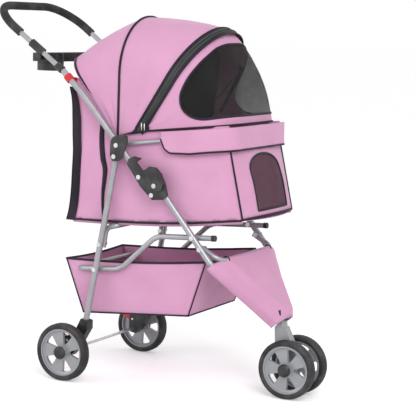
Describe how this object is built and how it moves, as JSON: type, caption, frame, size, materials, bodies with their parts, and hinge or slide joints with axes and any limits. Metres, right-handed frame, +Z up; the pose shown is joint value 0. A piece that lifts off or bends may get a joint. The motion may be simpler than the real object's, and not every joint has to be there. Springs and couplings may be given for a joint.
{
  "type": "pet stroller",
  "caption": "Folding three-wheel pet stroller with a zip-up cloth cabin, mesh windows, cloth basket, cup tray and a twin front caster.",
  "frame": {"origin": "on the floor under the middle of the bounding box", "axes": "+X forward towards the front caster, +Y to the stroller's left, +Z up"},
  "size_m": [0.9276, 0.455, 0.9842],
  "materials": {
    "pink_cloth": "woven polyester",
    "floor_cloth": "woven polyester over a board",
    "dark_mesh": "open mesh",
    "black_tape": "woven tape",
    "grey_tube": "satin",
    "steel": "satin",
    "black_plastic": "fine grain",
    "foam": "foam",
    "red_plastic": "smooth",
    "grey_plastic": "satin",
    "tyre": "moulded foam rubber"
  },
  "bodies": {
    "rear_frame": {"rear_leg_left": "grey_tube", "rear_leg_right": "grey_tube", "rear_cross_tube": "grey_tube", "rear_axle": "steel", "rear_wheel_housing_left": "black_plastic", "rear_wheel_housing_right": "black_plastic", "rear_pins": "steel"},
    "handle_frame": {"side_tube_left": "grey_tube", "side_tube_right": "grey_tube", "side_connector_left": "black_plastic", "side_connector_right": "black_plastic", "handle_bar": "grey_tube", "handle_grip": "foam", "handle_sleeves": "black_plastic", "canopy_clips": "red_plastic", "handle_tray": "black_plastic", "handle_rivets": "steel", "latch_pins": "steel"},
    "front_frame": {"front_leg_left": "grey_tube", "front_leg_right": "grey_tube", "fork_head": "black_plastic", "basket_front_tube": "grey_tube", "latch_housing_left": "black_plastic", "latch_housing_right": "black_plastic", "front_rivets": "steel", "front_apron": "pink_cloth"},
    "basket_frame": {"basket_rear_tube": "grey_tube", "basket_tube_caps": "black_plastic", "basket": "pink_cloth"},
    "cabin": {"rim_tube": "grey_tube", "cabin_walls": "pink_cloth", "cabin_floor": "floor_cloth", "cabin_door": "pink_cloth", "door_mesh": "dark_mesh", "canopy_rear_panel": "pink_cloth", "canopy_top_panel": "pink_cloth", "canopy_front_panel": "pink_cloth", "canopy_mesh": "dark_mesh", "canopy_bow": "black_tape", "canopy_zip_band": "black_tape", "rim_cover": "pink_cloth"},
    "caster": {"caster_fork": "grey_plastic", "front_axle": "steel"},
    "latch_lever_left": {"latch_lever_left": "black_plastic"},
    "latch_lever_right": {"latch_lever_right": "black_plastic"},
    "brake_left": {"brake_pedal_left": "red_plastic"},
    "brake_right": {"brake_pedal_right": "red_plastic"},
    "rear_left_wheel": {"rear_left_tyre": "tyre", "rear_left_rim": "grey_plastic", "rear_left_hub_cap": "black_plastic"},
    "rear_right_wheel": {"rear_right_tyre": "tyre", "rear_right_rim": "grey_plastic", "rear_right_hub_cap": "black_plastic"},
    "front_left_wheel": {"front_left_tyre": "tyre", "front_left_rim": "grey_plastic", "front_left_hub_cap": "black_plastic"},
    "front_right_wheel": {"front_right_tyre": "tyre", "front_right_rim": "grey_plastic", "front_right_hub_cap": "black_plastic"}
  },
  "joints": [
    {"name": "handle_fold", "type": "hinge", "parent": "rear_frame", "child": "handle_frame", "pos_m": [-0.05515, 0, 0.598], "axis": [0, -1, 0], "range_deg": [0, 74], "deforming": ["cabin_walls", "cabin_floor", "cabin_door", "door_mesh", "canopy_rear_panel", "canopy_top_panel", "canopy_front_panel", "canopy_mesh", "canopy_bow", "canopy_zip_band", "rim_cover", "front_apron", "basket"]},
    {"name": "front_fold", "type": "hinge", "parent": "handle_frame", "child": "front_frame", "pos_m": [0.05885, 0, 0.508], "axis": [0, 1, 0], "range_deg": [0, 114.7]},
    {"name": "basket_fold", "type": "hinge", "parent": "front_frame", "child": "basket_frame", "pos_m": [0.17385, 0, 0.4085], "axis": [0, -1, 0], "range_deg": [0, 69.56]},
    {"name": "cabin_fold", "type": "hinge", "parent": "rear_frame", "child": "cabin", "pos_m": [-0.05515, 0, 0.598], "axis": [0, 1, 0], "range_deg": [0, 7.4]},
    {"name": "caster_swivel", "type": "hinge", "parent": "front_frame", "child": "caster", "pos_m": [0.35285, 0, 0.196], "axis": [0, 0, 1], "continuous": true},
    {"name": "rear_left_wheel_spin", "type": "hinge", "parent": "rear_frame", "child": "rear_left_wheel", "pos_m": [-0.18115, 0.2055, 0.076], "axis": [0, 1, 0], "continuous": true},
    {"name": "front_left_wheel_spin", "type": "hinge", "parent": "caster", "child": "front_left_wheel", "pos_m": [0.38785, 0.038, 0.076], "axis": [0, 1, 0], "continuous": true},
    {"name": "brake_left_press", "type": "hinge", "parent": "rear_frame", "child": "brake_left", "pos_m": [-0.18515, 0.167, 0.102], "axis": [0, -1, 0], "range_deg": [0, 18]},
    {"name": "latch_left_lift", "type": "hinge", "parent": "front_frame", "child": "latch_lever_left", "pos_m": [0.06885, 0.1848, 0.533], "axis": [0, 1, 0], "range_deg": [0, 18], "stiffness_Nm_per_rad": 0.3, "springref_deg": -20.05},
    {"name": "rear_right_wheel_spin", "type": "hinge", "parent": "rear_frame", "child": "rear_right_wheel", "pos_m": [-0.18115, -0.2055, 0.076], "axis": [0, 1, 0], "continuous": true},
    {"name": "front_right_wheel_spin", "type": "hinge", "parent": "caster", "child": "front_right_wheel", "pos_m": [0.38785, -0.038, 0.076], "axis": [0, 1, 0], "continuous": true},
    {"name": "brake_right_press", "type": "hinge", "parent": "rear_frame", "child": "brake_right", "pos_m": [-0.18515, -0.167, 0.102], "axis": [0, -1, 0], "range_deg": [0, 18]},
    {"name": "latch_right_lift", "type": "hinge", "parent": "front_frame", "child": "latch_lever_right", "pos_m": [0.06885, -0.1848, 0.533], "axis": [0, 1, 0], "range_deg": [0, 18], "stiffness_Nm_per_rad": 0.3, "springref_deg": -20.05}
  ],
  "couplings": [
    {"joint": "front_fold", "follows": "handle_fold", "ratio": 1.55},
    {"joint": "basket_fold", "follows": "handle_fold", "ratio": 0.94},
    {"joint": "cabin_fold", "follows": "handle_fold", "ratio": 0.1}
  ]
}
